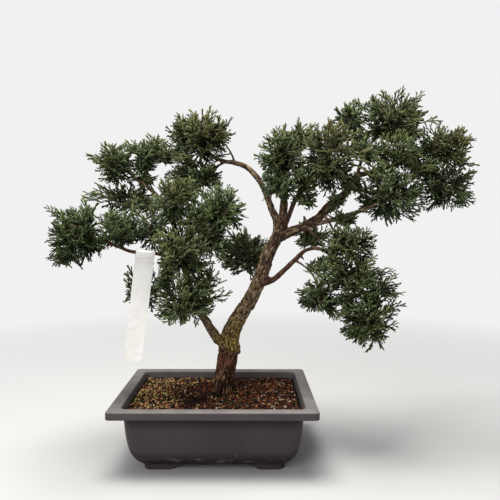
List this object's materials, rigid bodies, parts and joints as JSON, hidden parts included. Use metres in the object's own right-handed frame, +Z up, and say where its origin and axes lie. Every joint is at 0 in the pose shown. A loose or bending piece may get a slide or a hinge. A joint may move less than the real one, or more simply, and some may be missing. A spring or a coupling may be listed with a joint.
{
  "type": "itoigawa juniper bonsai",
  "caption": "Small juniper bonsai with a slanting forked trunk and clouds of fine scale foliage, in a shallow rectangular plastic training pot of gritty soil, with a blank hanging label.",
  "frame": {"origin": "on the surface the pot stands on, under the middle of the bounding box of tree and pot together", "axes": "+Z up, +X along the pot's length to the viewer's right, towards the longer side of the crown, +Y away from the viewer"},
  "size_m": [0.4656, 0.1628, 0.4039],
  "materials": {
    "pot_plastic": "matt, worn",
    "soil_grit": "rough",
    "bark": "rough bark",
    "scale_foliage": "matt",
    "label_plastic": "satin"
  },
  "bodies": {
    "root": {"pot": "pot_plastic", "soil": "soil_grit", "trunk_and_limbs": "bark", "hanging_label": "label_plastic", "foliage_far_left": "scale_foliage", "foliage_left_shelf": "scale_foliage", "foliage_left_crown": "scale_foliage", "foliage_left_top": "scale_foliage", "foliage_left_open": "scale_foliage", "foliage_top_left": "scale_foliage", "foliage_top_left_under": "scale_foliage", "foliage_left_front": "scale_foliage", "foliage_left_inner": "scale_foliage", "foliage_trunk_behind": "scale_foliage", "foliage_left_middle": "scale_foliage", "foliage_low_left": "scale_foliage", "foliage_low_left_outer": "scale_foliage", "foliage_upright": "scale_foliage", "foliage_upright_front": "scale_foliage", "foliage_upper_middle": "scale_foliage", "foliage_right_top_inner": "scale_foliage", "foliage_right_top": "scale_foliage", "foliage_right_end": "scale_foliage", "foliage_right_end_low": "scale_foliage", "foliage_right_front": "scale_foliage", "foliage_right_middle": "scale_foliage", "foliage_drooping_top": "scale_foliage", "foliage_drooping_middle": "scale_foliage", "foliage_drooping_inner": "scale_foliage", "foliage_drooping_end": "scale_foliage", "foliage_right_behind": "scale_foliage", "foliage_left_gap": "scale_foliage"}
  },
  "joints": []
}
